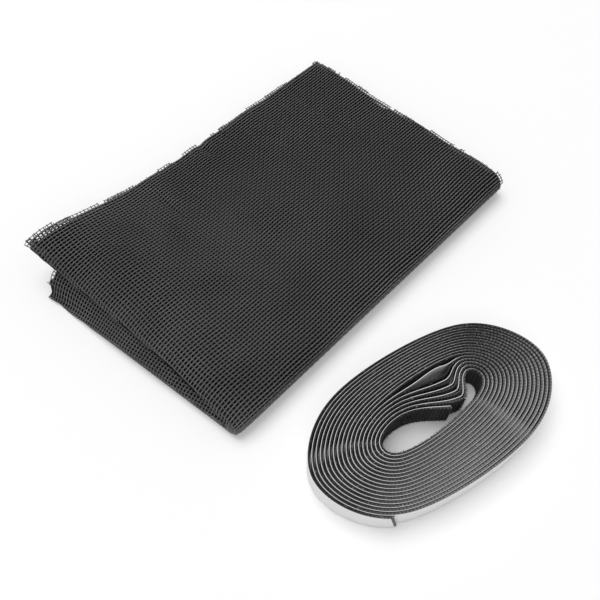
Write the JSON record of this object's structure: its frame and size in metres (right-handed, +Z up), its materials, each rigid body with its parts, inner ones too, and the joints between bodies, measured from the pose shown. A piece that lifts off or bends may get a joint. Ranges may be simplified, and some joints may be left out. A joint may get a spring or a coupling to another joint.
{
  "type": "window insect screen",
  "caption": "Insect screen for a window: a fine dark net folded into a flat pad, beside the wound coil of hook tape with white release liner that fixes it to the frame.",
  "frame": {"origin": "on the floor under the middle of the box round the net and the coil", "axes": "+X along the folded net's long side toward its cut ends, +Y along its short side away from the coil, +Z up"},
  "size_m": [0.1763, 0.1892, 0.0228],
  "materials": {
    "screen_net": "matt charcoal coated yarn",
    "hook_tape": "matt black woven tape",
    "release_liner": "smooth white film"
  },
  "bodies": {
    "root": {"screen_net": "screen_net", "hook_tape": "hook_tape", "release_liner": "release_liner"}
  },
  "joints": []
}
